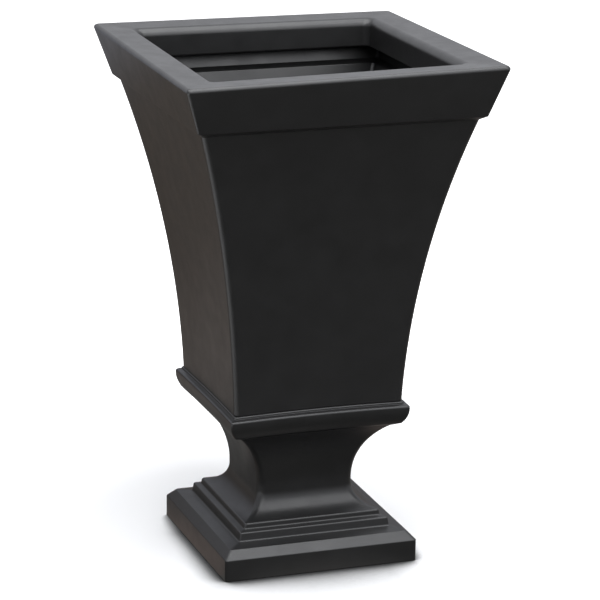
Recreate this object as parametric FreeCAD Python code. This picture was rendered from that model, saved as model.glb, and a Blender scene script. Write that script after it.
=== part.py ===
"""Square urn planter: a flared bowl with a turned-down rim, bolted onto a moulded pedestal.

Millimetres, +Z up. The origin is the centre of the square that the pedestal stands on, +X runs along
the front of the planter and -Y is its front.
"""
import FreeCAD, Part
import math
import os
from collections import namedtuple

# ---- Bowl -------------------------------------------------------------------------------------------
PLANTER_HEIGHT = 687.0      # floor to the top of the rim
RIM_WIDTH = 434.0           # across the flats, at the top of the rim
RIM_FALL = 2.6              # how far the rim's top slopes down to the opening
BAND_HEIGHT = 65.5          # slanted band under the rim's top face
BAND_SLANT = 21.7           # how far the band draws in on each side over its height
STEP_IN = 8.0               # step from the foot of the band in to the body, on each side
STEP_DROP = 5.5             # how far that step falls on its way in
BODY_FOOT_WIDTH = 235.6     # across the flats, where the body meets the pedestal
BODY_BOW = 13.3             # how far each side of the body bows in between its foot and the band
BOWL_WALL = 5.0
OPENING_WIDTH = 332.0       # clear opening between the turned-down flanges
FLANGE_DEPTH = 41.0         # turned-down flange, measured from the top of the rim
RIM_CORNER = 5.0            # radius of the rim's upright corners
BODY_CORNER = 8.5           # radius of the body's upright corners
OPENING_CORNER = 10.0       # radius of the opening's upright corners
INSIDE_CORNER = 6.0         # radius of the upright corners inside the body
RIM_EDGE = 3.0              # rounding along the rim's outer top edge
OPENING_EDGE = 11.0         # rounding along the opening's top edge
BAND_EDGE = 2.0             # rounding along the foot of the band
FOOT_EDGE = 1.5             # rounding along the foot of the body
FLOOR_EDGE = 8.0            # rounding between the inside walls and the floor

# ---- Pedestal ---------------------------------------------------------------------------------------
PEDESTAL_HEIGHT = 222.0     # floor to the seat that the bowl stands on
PEDESTAL_WALL = 5.0
LIP_WIDTH = 237.8           # seat, just wider than the bowl's foot
LIP_HEIGHT = 3.2            # seat down to the ledge round it
LEDGE_FALL = 1.8            # slope of that ledge
COLLAR_WIDTH = 251.0        # widest part of the collar under the lip
COLLAR_SIDE = 4.0           # upright part of the collar's side
COLLAR_ROUND = 21.8         # height of the rounded part under it
COLLAR_FOOT_WIDTH = 234.8
FLARE_WIDTH = 214.0         # where the neck's flare meets the underside of the collar
FLARE_DROP = 4.7            # how far that underside falls on its way in
NECK_WIDTH = 135.4          # narrowest part of the neck
NECK_HEIGHT = 104.0         # floor to the top of the narrowest part
NECK_SIDE = 8.8             # height of the narrowest part
COVE_WIDTH = 189.6          # foot of the big cove
COVE_HEIGHT = 63.8          # floor to the foot of the cove
UPPER_RISER = 7.2           # height of the riser under the cove
UPPER_RISER_WIDTH = 197.0   # at the foot of that riser
LOWER_STEP_WIDTH = 209.6
LOWER_STEP_FALL = 1.6       # slope of the ledge between the two risers
LOWER_RISER = 11.6          # height of the lower riser
LOWER_RISER_WIDTH = 213.0   # at the foot of that riser
SHOULDER_WIDTH = 249.6      # where the plinth's gentle slope turns into its steep one
SHOULDER_HEIGHT = 40.6
PLINTH_WIDTH = 270.6
PLINTH_SIDE = 29.4          # upright side of the plinth
FOOT_FLANGE = 16.0          # turned-in flange that the pedestal stands on
COLLAR_CORNER = 3.5         # radius of the upright corners of the lip and collar
FLARE_CORNER = 5.0
NECK_CORNER = 12.0
COVE_CORNER = 3.5
STEP_CORNER = 2.5
PLINTH_CORNER = 4.0
HOLLOW_CORNER = 9.0         # radius of the upright corners inside the pedestal
LIP_FILLET = 0.6            # hollow rounding at the foot of the lip
LIP_EDGE = 2.0              # rounding along the lip's outer edge
COLLAR_EDGE = 3.2           # rounding along the collar's top edge
STEP_EDGE = 2.4             # rounding along the outer edges of the steps
STEP_FILLET = 2.5           # hollow rounding at the foot of the lower riser
MOULD_EDGE = 1.4            # rounding along the small mouldings
PLINTH_EDGE = 2.4           # rounding along the plinth's top edge
HOLLOW_EDGE = 4.0           # rounding along the mouldings inside the pedestal

# ---- Fixings: four bolts through the bowl's floor and the pedestal's seat ---------------------------
BOLT_SPACING = 90.0         # between bolt centres, along X and along Y
THREAD_DIAMETER = 8.0
BOLT_LENGTH = 25.0          # under the head
HEAD_ACROSS_FLATS = 13.0
HEAD_HEIGHT = 5.3
NUT_HEIGHT = 6.8
WASHER_DIAMETER = 24.0
WASHER_THICKNESS = 2.0
BOLT_CLEARANCE = 0.5        # radial, in the washers and in both mouldings
THREAD_CLEARANCE = 0.05     # radial, between the nut and the bolt
HEX_CHAMFER = 0.9

# ---- Drain plug -------------------------------------------------------------------------------------
DRAIN_DIAMETER = 25.0       # hole in the bowl's floor
DRAIN_OUTLET = 34.0         # hole in the pedestal's seat under it
PLUG_CLEARANCE = 0.3        # between the plug and the bowl, radial and under the flange
PLUG_FLANGE = 38.0
PLUG_FLANGE_THICKNESS = 3.0
PLUG_STEM = 11.0            # length of the stem below the flange
PLUG_TAPER = 1.6            # how much the stem narrows, on radius
PLUG_TAB_LENGTH = 22.0
PLUG_TAB_THICKNESS = 5.0
PLUG_TAB_HEIGHT = 11.0
PLUG_EDGE = 1.0

# ---- Fineness of the lofted surfaces ----------------------------------------------------------------
TURN_PER_SECTION = math.radians(15)
SECTIONS_ON_SHALLOW_ARC = 7
SHORTEST_RUN = 1e-6

UP = FreeCAD.Vector(0, 0, 1)
ORIGIN = FreeCAD.Vector(0, 0, 0)

# One point of a moulding's profile. half is half the width across the flats, corner the radius of the
# upright corners there, bend the rounding of the profile at that point, and bow how far the profile
# bulges to its left on the way to the next point.
Station = namedtuple("Station", "half height corner bend bow", defaults=(0.0, 0.0))


def profile_edge(here, there):
    """Straight edge or arc from one station to the next, in the profile plane."""
    start = FreeCAD.Vector(here.half, here.height, 0)
    end = FreeCAD.Vector(there.half, there.height, 0)
    if here.bow == 0:
        return Part.LineSegment(start, end).toShape()
    way = end - start
    left = FreeCAD.Vector(-way.y, way.x, 0).normalize()
    return Part.Arc(start, (start + end) / 2 + left * here.bow, end).toShape()


def rounding(before, after, radius):
    """How far a rounding cuts back the two edges that meet, and its arc."""
    incoming = before.tangentAt(before.LastParameter)
    outgoing = after.tangentAt(after.FirstParameter)
    half_turn = incoming.getAngle(outgoing) / 2
    setback = radius * math.tan(half_turn)
    start = before.valueAt(before.getParameterByLength(before.Length - setback))
    end = after.valueAt(after.getParameterByLength(setback))
    outward = (incoming - outgoing).normalize()
    rise = radius * (1 - math.cos(half_turn))
    return setback, Part.Arc(start, (start + end) / 2 + outward * rise, end).toShape()


def points_along(edge):
    """Points that carry a loft's sections: two on a line, more on an arc."""
    if isinstance(edge.Curve, Part.Line):
        return edge.discretize(2)
    turn = edge.Length / edge.Curve.Radius
    return edge.discretize(max(SECTIONS_ON_SHALLOW_ARC, 1 + math.ceil(turn / TURN_PER_SECTION)))


def square_wire(half, height, corner):
    """Level square with rounded corners."""
    run = half - corner
    edges = []
    for quarter in range(4):
        arc = Part.makeCircle(corner, FreeCAD.Vector(run, run, height), UP, 0, 90)
        side = Part.makeLine(FreeCAD.Vector(run, half, height), FreeCAD.Vector(-run, half, height))
        for edge in (arc, side):
            edge.rotate(ORIGIN, UP, 90 * quarter)
            edges.append(edge)
    return Part.Wire(edges)


def skin(edge, first_corner, last_corner):
    """Faces that one edge of a profile makes when it is carried round the square."""
    points = edge.discretize(2)
    if abs(points[0].y - points[1].y) > SHORTEST_RUN:
        points = points_along(edge)
    wires = []
    for index, point in enumerate(points):
        corner = first_corner + (last_corner - first_corner) * index / (len(points) - 1)
        wires.append(square_wire(point.x, point.y, corner))
    if abs(points[0].y - points[-1].y) < SHORTEST_RUN:
        return Part.makeFace(wires, "Part::FaceMakerBullseye").Faces
    return Part.makeLoft(wires, False, len(wires) == 2).Faces


def moulding(stations):
    """Hollow moulding whose wall follows the stations, closed by a level face at each end."""
    edges = [profile_edge(here, there) for here, there in zip(stations, stations[1:])]
    setbacks = [0.0] * len(stations)
    faces = []
    for index in range(1, len(edges)):
        station = stations[index]
        if station.bend:
            setbacks[index], arc = rounding(edges[index - 1], edges[index], station.bend)
            faces += skin(arc, station.corner, station.corner)
    for index, edge in enumerate(edges):
        length = edge.Length - setbacks[index] - setbacks[index + 1]
        if length > SHORTEST_RUN:
            first = edge.getParameterByLength(setbacks[index])
            last = edge.getParameterByLength(edge.Length - setbacks[index + 1])
            run = edge.Curve.toShape(first, last)
            faces += skin(run, stations[index].corner, stations[index + 1].corner)
    for end in (stations[0], stations[-1]):
        faces.append(Part.Face(square_wire(end.half, end.height, end.corner)))
    shell = Part.makeShell(faces)
    shell.sewShape()
    solid = Part.makeSolid(shell)
    if solid.Volume < 0:
        solid.reverse()
    return solid


def bow_from_upright(upright, end):
    """Bulge of the arc between two stations that stands upright at the first."""
    across = abs(end[0] - upright[0])
    along = abs(end[1] - upright[1])
    radius = (across ** 2 + along ** 2) / (2 * across)
    return radius - math.sqrt(radius ** 2 - (across ** 2 + along ** 2) / 4)


def cylinder(radius, bottom, top, place=(0, 0)):
    """Upright cylinder between two heights."""
    return Part.makeCylinder(radius, top - bottom, FreeCAD.Vector(*place, bottom))


def bolt_places():
    """Centres of the four bolts."""
    half = BOLT_SPACING / 2
    return [(x, y) for x in (-half, half) for y in (-half, half)]


def bolt_holes(bottom, top):
    """Clearance holes for the four bolts."""
    radius = THREAD_DIAMETER / 2 + BOLT_CLEARANCE
    return [cylinder(radius, bottom, top, place) for place in bolt_places()]


# ---- Levels that both mouldings and the fixings share -----------------------------------------------
SEAT = PEDESTAL_HEIGHT
SEAT_UNDERSIDE = SEAT - PEDESTAL_WALL
BOWL_FLOOR = SEAT + BOWL_WALL


def bowl():
    """Single-wall bowl: floor, bowed sides, stepped band, rim and turned-down flange."""
    rim = RIM_WIDTH / 2
    band_foot = rim - BAND_SLANT
    body_top = band_foot - STEP_IN
    foot = BODY_FOOT_WIDTH / 2
    opening = OPENING_WIDTH / 2
    back_of_flange = opening + BOWL_WALL
    top = PLANTER_HEIGHT
    opening_top = top - RIM_FALL
    band_foot_height = top - BAND_HEIGHT
    body_top_height = band_foot_height - STEP_DROP
    flange_foot = top - FLANGE_DEPTH
    band_wall = BOWL_WALL / math.cos(math.atan(BAND_SLANT / BAND_HEIGHT))
    body_lean = math.atan((body_top - foot) / (body_top_height - SEAT))
    body_wall = BOWL_WALL / math.cos(body_lean)
    rim_inside = rim - BAND_SLANT * BOWL_WALL / BAND_HEIGHT - band_wall
    inside_foot = foot - body_wall
    shell = moulding([
        Station(foot - FLOOR_EDGE, SEAT, BODY_CORNER),
        Station(foot, SEAT, BODY_CORNER, FOOT_EDGE, BODY_BOW),
        Station(body_top, body_top_height, BODY_CORNER, BAND_EDGE),
        Station(band_foot, band_foot_height, RIM_CORNER, BAND_EDGE),
        Station(rim, top, RIM_CORNER, RIM_EDGE),
        Station(opening, opening_top, OPENING_CORNER, OPENING_EDGE),
        Station(opening, flange_foot, OPENING_CORNER, BOWL_WALL / 2),
        Station(back_of_flange, flange_foot, OPENING_CORNER, BOWL_WALL / 2),
        Station(back_of_flange, opening_top - BOWL_WALL, OPENING_CORNER, OPENING_EDGE - BOWL_WALL),
        Station(rim_inside, top - BOWL_WALL, INSIDE_CORNER, BAND_EDGE),
        Station(band_foot - band_wall, band_foot_height + BOWL_WALL / 2, INSIDE_CORNER, BAND_EDGE),
        Station(body_top - body_wall, body_top_height + BOWL_WALL / 2, INSIDE_CORNER, BAND_EDGE, -BODY_BOW),
        Station(inside_foot, BOWL_FLOOR, INSIDE_CORNER, FLOOR_EDGE),
        Station(inside_foot - 2 * FLOOR_EDGE, BOWL_FLOOR, INSIDE_CORNER),
    ])
    drain = cylinder(DRAIN_DIAMETER / 2, SEAT, BOWL_FLOOR)
    return shell.cut([drain] + bolt_holes(SEAT, BOWL_FLOOR))


def pedestal():
    """Single-wall pedestal: seat, collar, waisted neck, cove, two steps and plinth, open underneath."""
    wall = PEDESTAL_WALL
    lip = LIP_WIDTH / 2
    collar = COLLAR_WIDTH / 2
    collar_foot = COLLAR_FOOT_WIDTH / 2
    flare = FLARE_WIDTH / 2
    neck = NECK_WIDTH / 2
    cove = COVE_WIDTH / 2
    upper_riser = UPPER_RISER_WIDTH / 2
    step = LOWER_STEP_WIDTH / 2
    lower_riser = LOWER_RISER_WIDTH / 2
    shoulder = SHOULDER_WIDTH / 2
    plinth = PLINTH_WIDTH / 2
    ledge = SEAT - LIP_HEIGHT
    collar_top = ledge - LEDGE_FALL
    collar_round = collar_top - COLLAR_SIDE
    collar_foot_height = collar_round - COLLAR_ROUND
    flare_height = collar_foot_height - FLARE_DROP
    cove_top = NECK_HEIGHT - NECK_SIDE
    step_top = COVE_HEIGHT - UPPER_RISER
    step_edge = step_top - LOWER_STEP_FALL
    step_foot = step_edge - LOWER_RISER
    collar_bow = bow_from_upright((collar, collar_round), (collar_foot, collar_foot_height))
    flare_bow = bow_from_upright((neck, NECK_HEIGHT), (flare, flare_height))
    cove_bow = bow_from_upright((neck, cove_top), (cove, COVE_HEIGHT))
    inner_flare = (flare - wall, flare_height + wall / 2)
    inner_cove = (cove - wall, COVE_HEIGHT - wall)
    inner_flare_bow = bow_from_upright((neck - wall, NECK_HEIGHT), inner_flare)
    inner_cove_bow = bow_from_upright((neck - wall, cove_top), inner_cove)
    shell = moulding([
        Station(lip - HOLLOW_EDGE, SEAT, COLLAR_CORNER),
        Station(lip, SEAT, COLLAR_CORNER, LIP_EDGE),
        Station(lip, ledge, COLLAR_CORNER, LIP_FILLET),
        Station(collar, collar_top, COLLAR_CORNER, COLLAR_EDGE),
        Station(collar, collar_round, COLLAR_CORNER, 0, collar_bow),
        Station(collar_foot, collar_foot_height, COLLAR_CORNER, MOULD_EDGE),
        Station(flare, flare_height, FLARE_CORNER, MOULD_EDGE, -flare_bow),
        Station(neck, NECK_HEIGHT, NECK_CORNER),
        Station(neck, cove_top, NECK_CORNER, 0, -cove_bow),
        Station(cove, COVE_HEIGHT, COVE_CORNER, STEP_EDGE),
        Station(upper_riser, step_top, STEP_CORNER, MOULD_EDGE),
        Station(step, step_edge, STEP_CORNER, STEP_EDGE),
        Station(lower_riser, step_foot, STEP_CORNER, STEP_FILLET),
        Station(shoulder, SHOULDER_HEIGHT, PLINTH_CORNER, MOULD_EDGE),
        Station(plinth, PLINTH_SIDE, PLINTH_CORNER, PLINTH_EDGE),
        Station(plinth, 0, PLINTH_CORNER, MOULD_EDGE),
        Station(plinth - FOOT_FLANGE, 0, HOLLOW_CORNER, MOULD_EDGE),
        Station(plinth - FOOT_FLANGE, wall, HOLLOW_CORNER, MOULD_EDGE),
        Station(plinth - wall, wall, HOLLOW_CORNER, MOULD_EDGE),
        Station(plinth - wall, PLINTH_SIDE - wall / 2, HOLLOW_CORNER, HOLLOW_EDGE),
        Station(shoulder - wall / 2, SHOULDER_HEIGHT - wall, HOLLOW_CORNER, HOLLOW_EDGE),
        Station(lower_riser - wall, step_foot - wall, HOLLOW_CORNER, HOLLOW_EDGE),
        Station(step - wall, step_edge - wall, HOLLOW_CORNER, MOULD_EDGE),
        Station(upper_riser - wall, step_top - wall, HOLLOW_CORNER, MOULD_EDGE),
        Station(*inner_cove, HOLLOW_CORNER, MOULD_EDGE, inner_cove_bow),
        Station(neck - wall, cove_top, HOLLOW_CORNER),
        Station(neck - wall, NECK_HEIGHT, HOLLOW_CORNER, 0, inner_flare_bow),
        Station(*inner_flare, HOLLOW_CORNER, MOULD_EDGE),
        Station(collar_foot - wall / 2, collar_foot_height + wall, HOLLOW_CORNER, HOLLOW_EDGE),
        Station(collar - wall, collar_top - wall, HOLLOW_CORNER, MOULD_EDGE),
        Station(lip - wall, SEAT_UNDERSIDE, HOLLOW_CORNER, MOULD_EDGE),
        Station(lip - wall - HOLLOW_EDGE, SEAT_UNDERSIDE, HOLLOW_CORNER),
    ])
    outlet = cylinder(DRAIN_OUTLET / 2, SEAT_UNDERSIDE, SEAT)
    return shell.cut([outlet] + bolt_holes(SEAT_UNDERSIDE, SEAT))


def hexagon(across_flats, bottom, top, place):
    """Hexagonal prism with the corners of one or both ends turned away."""
    radius = across_flats / math.sqrt(3)
    corners = []
    for side in range(7):
        angle = math.radians(60 * side)
        corners.append(FreeCAD.Vector(radius * math.cos(angle), radius * math.sin(angle), bottom))
    prism = Part.Face(Part.makePolygon(corners)).extrude(FreeCAD.Vector(0, 0, top - bottom))
    turned = cylinder(radius, bottom, top)
    turned = turned.makeChamfer(HEX_CHAMFER, [edge for edge in turned.Edges if edge.Closed])
    return prism.common(turned).translate(FreeCAD.Vector(*place, 0))


def bolts():
    """Four hexagon-head bolts, heads inside the bowl."""
    under_head = BOWL_FLOOR + WASHER_THICKNESS
    solids = []
    for place in bolt_places():
        head = hexagon(HEAD_ACROSS_FLATS, under_head, under_head + HEAD_HEIGHT, place)
        shank = cylinder(THREAD_DIAMETER / 2, under_head - BOLT_LENGTH, under_head, place)
        tip = min(shank.Edges, key=lambda edge: edge.BoundBox.ZMax)
        solids.append(head.fuse(shank.makeChamfer(HEX_CHAMFER, [tip])).removeSplitter())
    return Part.makeCompound(solids)


def washers(bottom):
    """Four washers whose lower faces are at one height."""
    top = bottom + WASHER_THICKNESS
    solids = []
    for place, hole in zip(bolt_places(), bolt_holes(bottom, top)):
        solids.append(cylinder(WASHER_DIAMETER / 2, bottom, top, place).cut(hole))
    return Part.makeCompound(solids)


def nuts():
    """Four nuts under the seat."""
    top = SEAT_UNDERSIDE - WASHER_THICKNESS
    bottom = top - NUT_HEIGHT
    radius = THREAD_DIAMETER / 2 + THREAD_CLEARANCE
    solids = []
    for place in bolt_places():
        blank = hexagon(HEAD_ACROSS_FLATS, bottom, top, place)
        solids.append(blank.cut(cylinder(radius, bottom, top, place)))
    return Part.makeCompound(solids)


def drain_plug():
    """Push-in stopper for the bowl's drain hole: tapered stem, flange and finger tab."""
    seat = BOWL_FLOOR + PLUG_CLEARANCE
    top = seat + PLUG_FLANGE_THICKNESS
    stem = DRAIN_DIAMETER / 2 - PLUG_CLEARANCE
    cone = Part.makeCone(stem - PLUG_TAPER, stem, PLUG_STEM, FreeCAD.Vector(0, 0, seat - PLUG_STEM))
    flange = cylinder(PLUG_FLANGE / 2, seat, top)
    rim = max(flange.Edges, key=lambda edge: edge.BoundBox.ZMin + edge.Length)
    flange = flange.makeFillet(PLUG_EDGE, [rim])
    corner = FreeCAD.Vector(-PLUG_TAB_LENGTH / 2, -PLUG_TAB_THICKNESS / 2, seat)
    tab = Part.makeBox(PLUG_TAB_LENGTH, PLUG_TAB_THICKNESS, PLUG_FLANGE_THICKNESS + PLUG_TAB_HEIGHT, corner)
    tab = tab.makeFillet(PLUG_EDGE, [edge for edge in tab.Edges if edge.BoundBox.ZMax > top])
    return cone.fuse([flange, tab]).removeSplitter()


PARTS = {
    "bowl": bowl(),
    "pedestal": pedestal(),
    "bowl_bolts": bolts(),
    "upper_washers": washers(BOWL_FLOOR),
    "lower_washers": washers(SEAT_UNDERSIDE - WASHER_THICKNESS),
    "bolt_nuts": nuts(),
    "drain_plug": drain_plug(),
}

os.makedirs("parts", exist_ok=True)
for name, shape in PARTS.items():
    shape.exportStep("parts/" + name + ".step")
    box = shape.BoundBox
    print(name, shape.isValid(), len(shape.Solids), "solids", round(shape.Volume), "mm3,",
          "x", round(box.XMin, 1), "to", round(box.XMax, 1),
          "z", round(box.ZMin, 1), "to", round(box.ZMax, 1))
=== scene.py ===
import math
from collections import namedtuple

import bmesh
import bpy
from mathutils import Matrix, Vector

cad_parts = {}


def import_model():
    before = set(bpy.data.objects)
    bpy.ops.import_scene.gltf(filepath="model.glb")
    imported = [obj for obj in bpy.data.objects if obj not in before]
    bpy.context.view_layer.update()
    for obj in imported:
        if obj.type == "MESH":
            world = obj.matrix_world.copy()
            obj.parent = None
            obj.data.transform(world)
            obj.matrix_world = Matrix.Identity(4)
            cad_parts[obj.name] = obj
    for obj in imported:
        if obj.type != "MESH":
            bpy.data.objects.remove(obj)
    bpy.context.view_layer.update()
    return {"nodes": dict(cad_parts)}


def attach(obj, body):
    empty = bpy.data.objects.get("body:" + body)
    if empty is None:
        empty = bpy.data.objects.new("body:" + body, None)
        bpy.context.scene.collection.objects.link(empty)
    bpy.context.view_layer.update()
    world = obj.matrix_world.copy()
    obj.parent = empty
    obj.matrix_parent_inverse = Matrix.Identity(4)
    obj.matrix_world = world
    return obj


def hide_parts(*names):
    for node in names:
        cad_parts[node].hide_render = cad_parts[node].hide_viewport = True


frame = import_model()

MM = 0.001

# ---- Camera: the photograph's viewpoint ---------------------------------------------------------------
SENSOR_WIDTH = 36.0
PICTURE_WIDTH = 600
FOCAL_PIXELS = 2886
FOCAL_LENGTH = FOCAL_PIXELS / PICTURE_WIDTH * SENSOR_WIDTH
AZIMUTH = math.radians(-19.66)
ELEVATION = math.radians(16.15)
ROLL = math.radians(0.86)
DISTANCE = 3.878
AIM = Vector((0, 0, 0.3427))
SLIDE = Vector((0.0108, -0.0031))     # across and up the picture, in metres


def add_camera():
    """Camera that looks at the planter from a little above its front left corner."""
    back = Vector((math.sin(AZIMUTH) * math.cos(ELEVATION),
                   -math.cos(AZIMUTH) * math.cos(ELEVATION),
                   math.sin(ELEVATION)))
    level = Vector((math.cos(AZIMUTH), math.sin(AZIMUTH), 0))
    upright = back.cross(level)
    right = level * math.cos(ROLL) + upright * math.sin(ROLL)
    up = upright * math.cos(ROLL) - level * math.sin(ROLL)
    data = bpy.data.cameras.new("camera")
    data.sensor_width = SENSOR_WIDTH
    data.lens = FOCAL_LENGTH
    camera = bpy.data.objects.new("camera", data)
    place = AIM + back * DISTANCE + right * SLIDE.x + up * SLIDE.y
    camera.matrix_world = Matrix.Translation(place) @ Matrix((right, up, back)).transposed().to_4x4()
    bpy.context.scene.collection.objects.link(camera)
    bpy.context.scene.camera = camera


# ---- Mouldings ----------------------------------------------------------------------------------------
ARC_STEP = math.radians(7)
LEAST_ARC_STEPS = 4
LONG_CHORD = 60                     # millimetres; a longer arc gets at least the shallow arc's steps
SHALLOW_ARC_STEPS = 28
SAME_POINT = 1e-3                   # millimetres; closer points count as one
CORNER_STEPS = 8
SIDE_STEPS = 16
HOLE_SEGMENTS = 48
SHARP_EDGE = math.radians(40)

# One point of a moulding's profile, in millimetres. half is half the width across the flats, corner the
# radius of the upright corners there, bend the rounding of the profile at that point, and bow how far
# the profile bulges to its left on the way to the next point.
Station = namedtuple("Station", "half height corner bend bow", defaults=(0.0, 0.0))


def arc(start, end, bow):
    """Points from start to end, on a line or on an arc that bulges by bow to the left."""
    chord = end - start
    if bow == 0:
        return [start, end]
    along = chord.normalized()
    left = Vector((-along.y, along.x))
    radius = (chord.length ** 2 / 4 + bow ** 2) / (2 * abs(bow))
    half_angle = math.asin(min(1, chord.length / 2 / radius))
    steps = max(LEAST_ARC_STEPS, math.ceil(2 * half_angle / ARC_STEP))
    if chord.length > LONG_CHORD:
        steps = max(steps, SHALLOW_ARC_STEPS)
    points = []
    for step in range(steps + 1):
        angle = half_angle * (2 * step / steps - 1)
        rise = radius * (math.cos(angle) - 1) + abs(bow)
        points.append(start + along * (chord.length / 2 + radius * math.sin(angle))
                      + left * math.copysign(rise, bow))
    return points


def trimmed(points, from_start, from_end):
    """The same run of points, cut back by a length at each end."""
    run = cut_back(points, from_start)
    return cut_back(run[::-1], from_end)[::-1]


def cut_back(points, length):
    """The same run of points without its first length."""
    for index, (here, there) in enumerate(zip(points, points[1:])):
        step = (there - here).length
        if step > length:
            return [here.lerp(there, length / step)] + points[index + 1:]
        length -= step
    return points[-1:]


def profile(stations):
    """Points and corner radii all along a moulding's profile, with its bends rounded."""
    ends = [Vector((station.half, station.height)) for station in stations]
    runs = [arc(here, there, station.bow) for station, here, there in zip(stations, ends, ends[1:])]
    half_turns = [0.0] * len(stations)
    for index in range(1, len(runs)):
        incoming = runs[index - 1][-1] - runs[index - 1][-2]
        outgoing = runs[index][1] - runs[index][0]
        half_turns[index] = incoming.angle(outgoing) / 2
    setbacks = [station.bend * math.tan(turn) for station, turn in zip(stations, half_turns)]
    rows = []
    for index, run in enumerate(runs):
        cut = trimmed(run, setbacks[index], setbacks[index + 1])
        here = stations[index].corner
        there = stations[index + 1].corner
        for step, point in enumerate(cut):
            rows.append((point, here + (there - here) * step / max(1, len(cut) - 1)))
        if index + 1 < len(runs) and setbacks[index + 1]:
            start = cut[-1]
            end = cut_back(runs[index + 1], setbacks[index + 1])[0]
            incoming = (run[-1] - run[-2]).normalized()
            outgoing = (runs[index + 1][1] - runs[index + 1][0]).normalized()
            rise = stations[index + 1].bend * (1 - math.cos(half_turns[index + 1]))
            turn_left = incoming.x * outgoing.y - incoming.y * outgoing.x > 0
            for point in arc(start, end, -rise if turn_left else rise)[1:-1]:
                rows.append((point, there))
    return rows


def ring(half, corner):
    """Points round a square with rounded corners."""
    run = half - corner
    quarter = []
    for step in range(CORNER_STEPS + 1):
        angle = math.pi / 2 * step / CORNER_STEPS
        quarter.append(Vector((run + corner * math.cos(angle), run + corner * math.sin(angle))))
    for step in range(1, SIDE_STEPS):
        quarter.append(Vector((run - 2 * run * step / SIDE_STEPS, half)))
    points = []
    for index in range(4):
        turn = Matrix.Rotation(math.pi / 2 * index, 2)
        points += [turn @ point for point in quarter]
    return points


def moulding(name, stations):
    """Closed solid whose wall follows the stations, with a level face at each end."""
    mesh = bmesh.new()
    rings = []
    last = None
    for point, corner in profile(stations):
        if last and (point - last).length < SAME_POINT:
            continue
        last = point
        rings.append([mesh.verts.new((p.x * MM, p.y * MM, point.y * MM)) for p in ring(point.x, corner)])
    for lower, upper in zip(rings, rings[1:]):
        count = len(lower)
        for index in range(count):
            following = (index + 1) % count
            mesh.faces.new((lower[index], lower[following], upper[following], upper[index]))
    mesh.faces.new(rings[0])
    mesh.faces.new(rings[-1])
    bmesh.ops.recalc_face_normals(mesh, faces=mesh.faces)
    data = bpy.data.meshes.new(name)
    mesh.to_mesh(data)
    mesh.free()
    piece = bpy.data.objects.new(name, data)
    bpy.context.scene.collection.objects.link(piece)
    return piece


def drill(piece, holes):
    """Cut upright round holes, each given as x, y, radius, bottom and top in millimetres."""
    mesh = bmesh.new()
    for x, y, radius, bottom, top in holes:
        place = Matrix.Translation(Vector((x, y, (bottom + top) / 2)) * MM)
        bmesh.ops.create_cone(mesh, cap_ends=True, segments=HOLE_SEGMENTS, radius1=radius * MM,
                              radius2=radius * MM, depth=(top - bottom) * MM, matrix=place)
    data = bpy.data.meshes.new("drills")
    mesh.to_mesh(data)
    mesh.free()
    drills = bpy.data.objects.new("drills", data)
    bpy.context.scene.collection.objects.link(drills)
    cut = piece.modifiers.new("holes", "BOOLEAN")
    cut.object = drills
    cut.operation = "DIFFERENCE"
    cut.solver = "EXACT"
    applied = bpy.data.meshes.new_from_object(piece.evaluated_get(bpy.context.evaluated_depsgraph_get()))
    piece.modifiers.clear()
    piece.data = applied
    bpy.data.objects.remove(drills)


def eased(value, low, high):
    """0 at and before low, 1 at and after high, with a soft passage between them."""
    share = min(1, max(0, (value - low) / (high - low)))
    return share * share * (3 - 2 * share)


def settle(piece):
    """Give the moulding the slight crown and twist that it took as it cooled."""
    for vertex in piece.data.vertices:
        x, y, z = vertex.co / MM
        outer, inner = max(abs(x), abs(y)), min(abs(x), abs(y))
        crown = CROWN * eased(outer, *CROWN_START) * eased(z, *CROWN_RISE) * (1 - eased(z, *CROWN_FADE))
        across = Vector((x, y)) / RIM_HALF
        twist = RIM_TILT * across.x - RIM_TWIST * across.x * across.y
        vertex.co.z += (crown * (1 - (inner / outer) ** 2) + twist * eased(z, BAND_FOOT, TOP)) * MM


def smooth(piece):
    """Shade the piece smooth, with its drilled edges left sharp and its flats flat."""
    mesh = bmesh.new()
    mesh.from_mesh(piece.data)
    for face in mesh.faces:
        face.smooth = True
    for edge in mesh.edges:
        edge.smooth = len(edge.link_faces) == 2 and edge.calc_face_angle() < SHARP_EDGE
    mesh.to_mesh(piece.data)
    mesh.free()
    weighted = piece.modifiers.new("weighted_normals", "WEIGHTED_NORMAL")
    weighted.keep_sharp = True


def bow_from_upright(upright, end):
    """Bulge of the arc between two profile points that stands upright at the first."""
    across = abs(end[0] - upright[0])
    along = abs(end[1] - upright[1])
    radius = (across ** 2 + along ** 2) / (2 * across)
    return radius - math.sqrt(radius ** 2 - (across ** 2 + along ** 2) / 4)


def drill_fixings(piece, bottom, top, middle):
    """Cut four bolt holes and a middle hole of the given radius through a level wall."""
    span = (bottom - DRILL_OVERRUN, top + DRILL_OVERRUN)
    drill(piece, [(x, y, BOLT_HOLE, *span) for x, y in BOLT_PLACES] + [(0, 0, middle, *span)])


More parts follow.
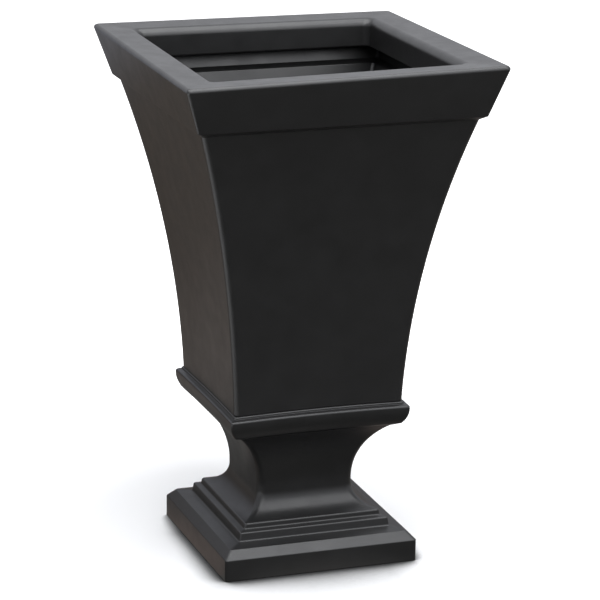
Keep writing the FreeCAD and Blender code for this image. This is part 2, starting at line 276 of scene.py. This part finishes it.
# Heights, half widths and radii in millimetres
SEAT = 222.0
TOP = 687.0
RIM_HALF = 217.0
RIM_FALL = 2.6
BAND_FOOT = 621.5
BAND_FOOT_HALF = 195.3
BODY_HALF = 187.3           # at the top of the bowed body
BODY_FOOT_HALF = 117.8
OPENING_HALF = 166.0
FLANGE_FOOT = 646.0
WALL = 5.0
PLINTH_HALF = 135.3
EDGE = 1.4                  # bend of the plain edges
HOLLOW_CORNER = 9.0         # upright corners inside the pedestal
CROWN = 1.9                 # how much higher the edges near the seat lie at mid-side than at the corners
CROWN_START = (100, 112)    # half widths over which the crown sets in
CROWN_RISE = (110, 180)     # heights over which it sets in
CROWN_FADE = (260, 480)     # heights over which it dies away
RIM_TILT = 1.0
RIM_TWIST = 2.4
BOLT_PLACES = [(x, y) for x in (-45, 45) for y in (-45, 45)]
BOLT_HOLE = 4.5             # radius
DRAIN_HOLE = 12.5           # radius
DRAIN_PASSAGE = 17.0        # radius of the hole in the seat under the drain
DRILL_OVERRUN = 2.0


def bowl():
    """Single-wall bowl: floor, bowed sides, stepped band, rim and turned-down flange."""
    bow = 13.3
    shell = moulding("bowl_shell", [
        Station(98, SEAT, 8.5),
        Station(BODY_FOOT_HALF, SEAT, 8.5, 1.5, bow),
        Station(BODY_HALF, 616, 8.5, 2),
        Station(BAND_FOOT_HALF, BAND_FOOT, 5, 2),
        Station(RIM_HALF, TOP, 5, 4.5),
        Station(OPENING_HALF, TOP - RIM_FALL, 10, 11),
        Station(OPENING_HALF, FLANGE_FOOT, 10, 2.4),
        Station(OPENING_HALF + WALL, FLANGE_FOOT, 10, 2.4),
        Station(OPENING_HALF + WALL, 679.4, 10, 6),
        Station(210.1, TOP - WALL, 6, 2),
        Station(190, 624, 6, 2),
        Station(182.2, 618.5, 6, 2, -bow),
        Station(112.7, SEAT + WALL, 6, 8),
        Station(96.7, SEAT + WALL, 6),
    ])
    settle(shell)
    drill_fixings(shell, SEAT, SEAT + WALL, DRAIN_HOLE)
    smooth(shell)
    return shell


def pedestal():
    """Single-wall pedestal: seat, collar, waisted neck, cove, two steps and plinth, open underneath."""
    neck_top = (67.7, 104.0)
    neck_foot = (67.7, 95.2)
    flare = (107.0, 186.5)
    cove = (95.9, 64.0)
    collar_round = (125.5, 213.0)
    collar_foot = (117.4, 191.2)
    inner_neck_top = (62.7, 104.0)
    inner_neck_foot = (62.7, 95.2)
    inner_flare = (102.0, 189.0)
    inner_cove = (89.8, 58.8)
    shell = moulding("pedestal_shell", [
        Station(98, SEAT, 3.5),
        Station(118.9, SEAT, 3.5, 2),
        Station(118.9, 218.8, 3.5, 0.6),
        Station(125.5, 217, 3.5, 3.2),
        Station(*collar_round, 3.5, 0, bow_from_upright(collar_round, collar_foot)),
        Station(*collar_foot, 3.5, EDGE),
        Station(*flare, 5, EDGE, -bow_from_upright(neck_top, flare)),
        Station(*neck_top, 12),
        Station(*neck_foot, 12, 0, -bow_from_upright(neck_foot, cove)),
        Station(*cove, 3.5, 2.6),
        Station(96.6, 56.6, 2.5, 2.2),
        Station(104.8, 55, 2.5, 2.4),
        Station(106.5, 43.4, 2.5, 2.5),
        Station(124.8, 40.6, 4, EDGE),
        Station(PLINTH_HALF, 29.4, 4, 2.4),
        Station(PLINTH_HALF, 0, 4, EDGE),
        Station(119.3, 0, HOLLOW_CORNER, EDGE),
        Station(119.3, WALL, HOLLOW_CORNER, EDGE),
        Station(130.3, WALL, HOLLOW_CORNER, EDGE),
        Station(130.3, 26.9, HOLLOW_CORNER, 4),
        Station(122.3, 35.6, HOLLOW_CORNER, 4),
        Station(101.5, 38.4, HOLLOW_CORNER, 4),
        Station(99.8, 50, HOLLOW_CORNER, EDGE),
        Station(93.5, 51.6, HOLLOW_CORNER, EDGE),
        Station(*inner_cove, HOLLOW_CORNER, EDGE, bow_from_upright(inner_neck_foot, inner_cove)),
        Station(*inner_neck_foot, HOLLOW_CORNER),
        Station(*inner_neck_top, HOLLOW_CORNER, 0, bow_from_upright(inner_neck_top, inner_flare)),
        Station(*inner_flare, HOLLOW_CORNER, EDGE),
        Station(114.9, 196.2, HOLLOW_CORNER, 4),
        Station(120.5, 212, HOLLOW_CORNER, EDGE),
        Station(113.9, SEAT - WALL, HOLLOW_CORNER, EDGE),
        Station(98, SEAT - WALL, HOLLOW_CORNER),
    ])
    settle(shell)
    drill_fixings(shell, SEAT - WALL, SEAT, DRAIN_PASSAGE)
    smooth(shell)
    return shell


# ---- Materials ----------------------------------------------------------------------------------------
def new_material(name):
    """Empty node material and its Principled shader."""
    material = bpy.data.materials.new(name)
    material.use_nodes = True
    return material, material.node_tree, material.node_tree.nodes["Principled BSDF"]


def noise(tree, scale, detail=2.0, roughness=0.5):
    """Noise over the object's own coordinates, in metres."""
    place = tree.nodes.new("ShaderNodeTexCoord")
    node = tree.nodes.new("ShaderNodeTexNoise")
    node.inputs["Scale"].default_value = scale
    node.inputs["Detail"].default_value = detail
    node.inputs["Roughness"].default_value = roughness
    tree.links.new(place.outputs["Object"], node.inputs["Vector"])
    return node.outputs["Fac"]


def ramp(tree, factor, stops):
    """Colour ramp with its stops given as position and colour."""
    node = tree.nodes.new("ShaderNodeValToRGB")
    while len(node.color_ramp.elements) < len(stops):
        node.color_ramp.elements.new(1)
    for element, (position, colour) in zip(node.color_ramp.elements, stops):
        element.position = position
        element.color = (*colour, 1)
    tree.links.new(factor, node.inputs["Fac"])
    return node.outputs["Color"]


def spread(tree, factor, low, high, to_low, to_high):
    """Map a range of a factor to another range."""
    node = tree.nodes.new("ShaderNodeMapRange")
    node.inputs["From Min"].default_value = low
    node.inputs["From Max"].default_value = high
    node.inputs["To Min"].default_value = to_low
    node.inputs["To Max"].default_value = to_high
    tree.links.new(factor, node.inputs["Value"])
    return node.outputs["Result"]


def bump(tree, height, distance, normal=None):
    """Bump whose height of 1 stands for a distance in metres."""
    node = tree.nodes.new("ShaderNodeBump")
    node.inputs["Distance"].default_value = distance
    node.inputs["Strength"].default_value = 1
    tree.links.new(height, node.inputs["Height"])
    if normal:
        tree.links.new(normal, node.inputs["Normal"])
    return node.outputs["Normal"]


def charcoal_plastic():
    """Rotation-moulded polyethylene, charcoal right through, with a fine matt grain."""
    material, tree, shader = new_material("charcoal_plastic")
    mottle = noise(tree, scale=14, detail=4)
    colour = ramp(tree, mottle, [(0.35, (0.0098, 0.0098, 0.0099)), (0.65, (0.0122, 0.0122, 0.0123))])
    tree.links.new(colour, shader.inputs["Base Color"])
    patches = noise(tree, scale=40, detail=3)
    tree.links.new(spread(tree, patches, 0.3, 0.7, 0.33, 0.4), shader.inputs["Roughness"])
    shader.inputs["IOR"].default_value = 1.5
    waves = bump(tree, noise(tree, scale=9, detail=1), distance=0.0008)
    grain = bump(tree, noise(tree, scale=900, detail=2, roughness=0.6), distance=0.00006, normal=waves)
    tree.links.new(grain, shader.inputs["Normal"])
    return material


def fixing_steel():
    """Plain stainless steel with a faint turned grain."""
    material, tree, shader = new_material("fixing_steel")
    cloud = noise(tree, scale=160, detail=4, roughness=0.6)
    colour = ramp(tree, cloud, [(0.3, (0.42, 0.43, 0.44)), (0.7, (0.6, 0.61, 0.62))])
    tree.links.new(colour, shader.inputs["Base Color"])
    shader.inputs["Metallic"].default_value = 1
    wear = noise(tree, scale=700, detail=3)
    tree.links.new(spread(tree, wear, 0.3, 0.7, 0.26, 0.42), shader.inputs["Roughness"])
    tree.links.new(bump(tree, noise(tree, scale=1800), distance=0.00002), shader.inputs["Normal"])
    return material


def plug_rubber():
    """Black rubber with a dull bloom."""
    material, tree, shader = new_material("plug_rubber")
    cloud = noise(tree, scale=120, detail=4)
    colour = ramp(tree, cloud, [(0.3, (0.012, 0.012, 0.012)), (0.7, (0.022, 0.022, 0.021))])
    tree.links.new(colour, shader.inputs["Base Color"])
    bloom = noise(tree, scale=300, detail=3)
    tree.links.new(spread(tree, bloom, 0.3, 0.7, 0.55, 0.72), shader.inputs["Roughness"])
    tree.links.new(bump(tree, noise(tree, scale=2500), distance=0.00004), shader.inputs["Normal"])
    return material


# ---- Stage --------------------------------------------------------------------------------------------
WORLD_LIGHT = 0.38          # strength of the surroundings where they only light
FLOOR_HALF = 30
LOW = 0.001                 # height of the cards over the floor
MIDDLE = (-0.12, -0.12, LOW)
MIDDLE_RIGHT = (3, -0.12, LOW)
MIDDLE_LEFT = (-0.6, 0.14, LOW)
LAMP_COLOUR = (0.97, 0.98, 1)


def seen_rays(tree):
    """1 for the camera and for reflections and refractions of the background, else 0."""
    path = tree.nodes.new("ShaderNodeLightPath")
    first = tree.nodes.new("ShaderNodeMath")
    first.operation = "MAXIMUM"
    second = tree.nodes.new("ShaderNodeMath")
    second.operation = "MAXIMUM"
    tree.links.new(path.outputs["Is Camera Ray"], first.inputs[0])
    tree.links.new(path.outputs["Is Glossy Ray"], first.inputs[1])
    tree.links.new(first.outputs[0], second.inputs[0])
    tree.links.new(path.outputs["Is Transmission Ray"], second.inputs[1])
    return second.outputs[0]


def seen_by_camera(tree):
    """1 for the camera, else 0."""
    return tree.nodes.new("ShaderNodeLightPath").outputs["Is Camera Ray"]


def world():
    """White where it is seen, dimmer where it lights."""
    surroundings = bpy.data.worlds.new("surroundings")
    bpy.context.scene.world = surroundings
    surroundings.use_nodes = True
    tree = surroundings.node_tree
    glow = tree.nodes["Background"]
    tree.links.new(spread(tree, seen_rays(tree), 0, 1, WORLD_LIGHT, 1), glow.inputs["Strength"])
    tint = ramp(tree, seen_by_camera(tree), [(0, (0.93, 0.945, 1)), (1, grey(1))])
    tree.links.new(tint, glow.inputs["Color"])


def from_middle(tree, reach):
    """Distance from the planter's middle along the floor, as a share of a reach in metres."""
    place = tree.nodes.new("ShaderNodeTexCoord")
    distance = tree.nodes.new("ShaderNodeVectorMath")
    distance.operation = "LENGTH"
    tree.links.new(place.outputs["Object"], distance.inputs[0])
    return spread(tree, distance.outputs["Value"], 0, reach, 0, 1)


def product(tree, first, second):
    """Colour of one output times another."""
    node = tree.nodes.new("ShaderNodeVectorMath")
    node.operation = "MULTIPLY"
    tree.links.new(first, node.inputs[0])
    tree.links.new(second, node.inputs[1])
    return node.outputs["Vector"]


def grey(level):
    """Neutral colour of a level."""
    return (level, level, level)


def grey_ramp(tree, factor, stops):
    """Ramp between neutral levels."""
    return ramp(tree, factor, [(place, grey(level)) for place, level in stops])


# Painted shadow on the floor: how dark it is painted as the floor's view of the sky is closed, and how
# much lighter it is painted beside and behind the planter. The places of the lifts and of the share run
# from SIDE_REACH to the left or front of the middle to SIDE_REACH to its right or back.
PAINTED_SHADOW = [(0.5, 0.03), (0.62, 0.12), (0.72, 0.28), (0.8, 0.48), (0.87, 0.72), (0.93, 0.91), (0.97, 1.0)]
LEFT_LIFT = [(0.1, 0.3), (0.2, 0.22), (0.25, 0.12), (0.29, 0)]
REAR_SHARE = [(0.25, 0), (0.35, 0.5), (0.5, 1)]
RIGHT_LIFT = [(0.65, 0), (0.72, 0.08), (0.8, 0.25)]
REAR_LIFT = [(0.6, 0), (0.75, 0.2)]
SIDE_REACH = 0.3
SHADOW_REACH = 0.17


def floor():
    """White floor with a shadow painted from its ambient occlusion where the planter stands on it."""
    mesh = bmesh.new()
    bmesh.ops.create_grid(mesh, x_segments=1, y_segments=1, size=FLOOR_HALF)
    data = bpy.data.meshes.new("floor")
    mesh.to_mesh(data)
    mesh.free()
    ground = bpy.data.objects.new("floor", data)
    bpy.context.scene.collection.objects.link(ground)
    material, tree, shader = new_material("floor")
    shader.inputs["Roughness"].default_value = 1
    shader.inputs["Specular IOR Level"].default_value = 0
    contact = tree.nodes.new("ShaderNodeAmbientOcclusion")
    contact.inputs["Distance"].default_value = SHADOW_REACH
    place = tree.nodes.new("ShaderNodeTexCoord")
    axes = tree.nodes.new("ShaderNodeSeparateXYZ")
    tree.links.new(place.outputs["Object"], axes.inputs[0])
    across = spread(tree, axes.outputs["X"], -SIDE_REACH, SIDE_REACH, 0, 1)
    along = spread(tree, axes.outputs["Y"], -SIDE_REACH, SIDE_REACH, 0, 1)
    open_air = contact.outputs["AO"]
    for lift in (product(tree, grey_ramp(tree, across, LEFT_LIFT), grey_ramp(tree, along, REAR_SHARE)),
                 grey_ramp(tree, across, RIGHT_LIFT), grey_ramp(tree, along, REAR_LIFT)):
        lifted = tree.nodes.new("ShaderNodeMath")
        tree.links.new(open_air, lifted.inputs[0])
        tree.links.new(lift, lifted.inputs[1])
        open_air = lifted.outputs[0]
    # Painted shadow: the ambient occlusion, lightened by place, darkens the floor's colour and glow.
    shadow = grey_ramp(tree, open_air, PAINTED_SHADOW)
    seen = seen_rays(tree)
    # The floor is 0.85 white where it is seen, but only 0.18 grey in the light it throws back.
    paint = ramp(tree, seen, [(0, grey(0.18)), (1, grey(0.85))])
    tree.links.new(product(tree, paint, shadow), shader.inputs["Base Color"])
    # The floor glows for the camera and in reflections, less near the middle, so the painted shadow
    # shows there.
    fade = ramp(tree, from_middle(tree, 1.0), [(0.3, grey(0.15)), (0.9, grey(1))])
    tree.links.new(product(tree, fade, shadow), shader.inputs["Emission Color"])
    tree.links.new(seen, shader.inputs["Emission Strength"])
    data.materials.append(material)


def lamp(name, place, aim, size, power):
    """Soft rectangular lamp."""
    data = bpy.data.lights.new(name, "AREA")
    data.shape = "RECTANGLE"
    data.size, data.size_y = size
    data.energy = power
    data.color = LAMP_COLOUR
    obj = bpy.data.objects.new(name, data)
    obj.location = place
    obj.rotation_euler = (Vector(aim) - Vector(place)).to_track_quat("-Z", "Y").to_euler()
    obj.visible_camera = False
    bpy.context.scene.collection.objects.link(obj)


def reflection_glow_card(name, corners, factor, stops):
    """Card that glows to paint a reflection onto the planter, seen only by reflections, graded by its
    factor.
    """
    data = bpy.data.meshes.new(name)
    data.from_pydata(corners, [], [range(len(corners))])
    card = bpy.data.objects.new(name, data)
    bpy.context.scene.collection.objects.link(card)
    material, tree, shader = new_material(name)
    shader.inputs["Base Color"].default_value = (0, 0, 0, 1)
    shader.inputs["Specular IOR Level"].default_value = 0
    tree.links.new(ramp(tree, factor(tree), stops), shader.inputs["Emission Color"])
    shader.inputs["Emission Strength"].default_value = 1
    data.materials.append(material)
    card.visible_camera = False
    card.visible_diffuse = False
    card.visible_shadow = False
    card.visible_transmission = False


def outward(tree):
    """Distance from the planter's middle, as a share of 2 m."""
    return from_middle(tree, 2.0)


def upward(tree):
    """Height over the floor, as a share of 2 m."""
    place = tree.nodes.new("ShaderNodeTexCoord")
    axes = tree.nodes.new("ShaderNodeSeparateXYZ")
    tree.links.new(place.outputs["Object"], axes.inputs[0])
    return spread(tree, axes.outputs["Z"], 0, 2, 0, 1)


def dress(piece, material):
    """Give the piece one material."""
    piece.data.materials.clear()
    piece.data.materials.append(material)


# ---- The planter, its stage and its light -------------------------------------------------------------
add_camera()
bowl_piece = bowl()
pedestal_piece = pedestal()
plastic = charcoal_plastic()
for piece, node in ((bowl_piece, "bowl"), (pedestal_piece, "pedestal")):
    dress(piece, plastic)
    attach(piece, "planter")
    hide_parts(node)
steel = fixing_steel()
for node in ("bowl_bolts", "upper_washers", "lower_washers", "bolt_nuts"):
    dress(frame["nodes"][node], steel)
dress(frame["nodes"]["drain_plug"], plug_rubber())

world()
floor()
lamp("overhead", place=(0, -0.1, 2.6), aim=(0, 0, 0), size=(2.4, 2.4), power=75)
lamp("front_top", place=(0.3, -2.1, 2.4), aim=(0, 0, 0.1), size=(2.6, 2.8), power=60)
# Glowing cards that paint the reflections in the planter's faces; only reflections see them.
reflection_glow_card("front_glow_card", [(-1.3, -4, LOW), (3, -4, LOW), MIDDLE_RIGHT, MIDDLE, MIDDLE_LEFT, (-0.6, -0.5, LOW)],
     outward,
     [(0.068, (0.52, 0.5, 0.48)), (0.08, (0.41, 0.4, 0.385)), (0.1, (0.153, 0.15, 0.144)),
      (0.2, (0.133, 0.13, 0.125)), (0.35, (0.164, 0.16, 0.154)), (1, (0.225, 0.22, 0.212))])
reflection_glow_card("rear_glow_card", [(-3, 0.5, LOW), MIDDLE_LEFT, MIDDLE, MIDDLE_RIGHT, (3, 4, LOW), (-3, 4, LOW)],
     outward,
     [(0.068, (0.4, 0.33, 0.3)), (0.1, (0.3, 0.26, 0.24)), (0.14, (0.19, 0.19, 0.185)),
      (0.24, (0.22, 0.21, 0.2)), (0.35, (0.42, 0.37, 0.34)), (0.6, (0.2, 0.165, 0.14)),
      (1, (0.17, 0.145, 0.12))])
reflection_glow_card("back_glow_card", [(-2, 1.1, LOW), (2, 1.1, LOW), (2, 1.1, 0.86), (-2, 1.1, 0.86)], upward,
     [(0, (0.18, 0.15, 0.125)), (0.145, (0.18, 0.15, 0.125)), (0.195, (0.55, 0.57, 0.64)),
      (0.36, (0.58, 0.6, 0.68)), (0.43, grey(1))])
bpy.context.scene.view_settings.view_transform = "Standard"
